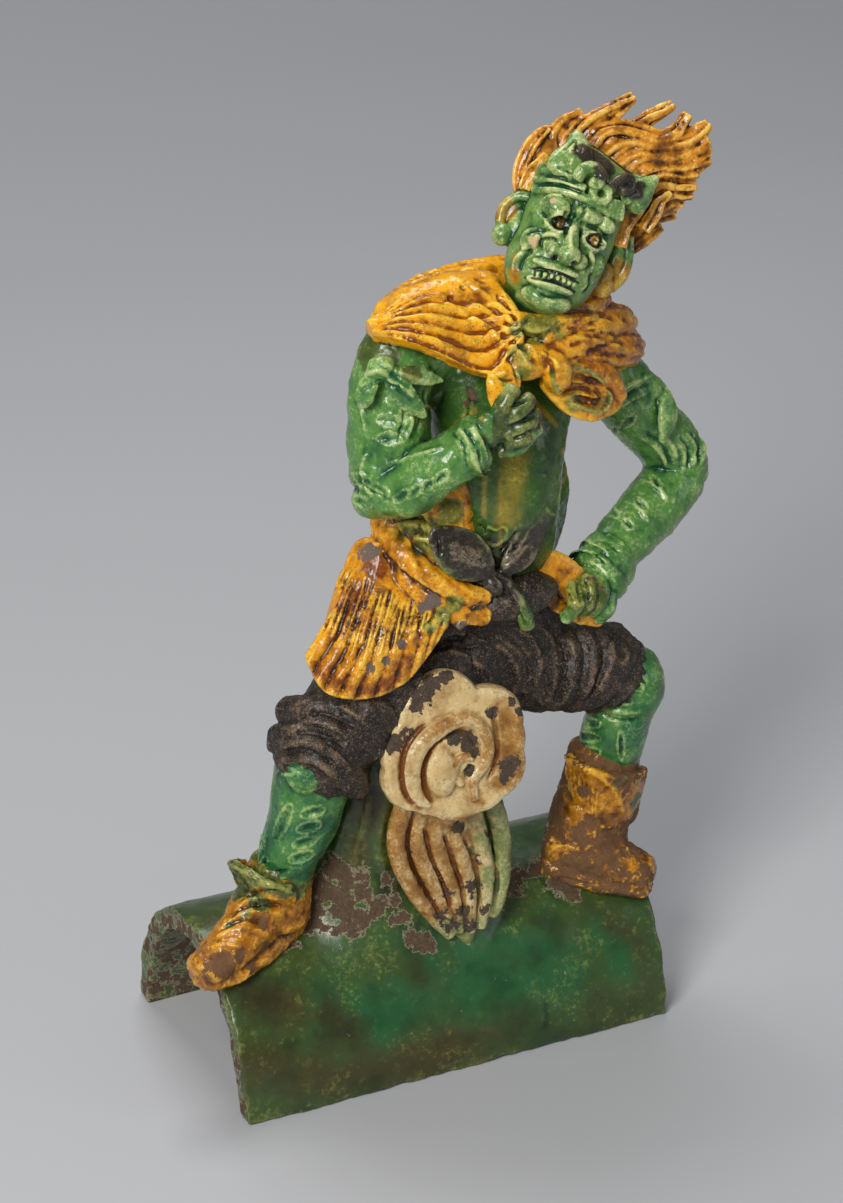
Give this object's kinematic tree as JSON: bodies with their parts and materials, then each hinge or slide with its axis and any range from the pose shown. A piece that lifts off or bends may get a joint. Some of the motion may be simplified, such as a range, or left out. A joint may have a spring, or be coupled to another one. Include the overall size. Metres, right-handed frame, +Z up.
{
  "type": "roof ridge figure",
  "caption": "Glazed ceramic warrior striding on a ridge tile, scarf knotted at the throat, one hand at the chest, one fist on the hip, over a scrolled cloud.",
  "frame": {"origin": "centre of the box's underside, on the plane of the tile's two long bottom edges", "axes": "+Z up, X along the ridge tile with the raised elbow's side at +X, the figure faces -Y"},
  "size_m": [0.479, 0.22, 0.7486],
  "materials": {
    "glaze": "green, amber, cream and black-brown lead glazes over a buff clay, crazed, pitted and worn to the clay in places"
  },
  "bodies": {
    "root": {"roof_ridge_figure": "glaze"}
  },
  "joints": []
}
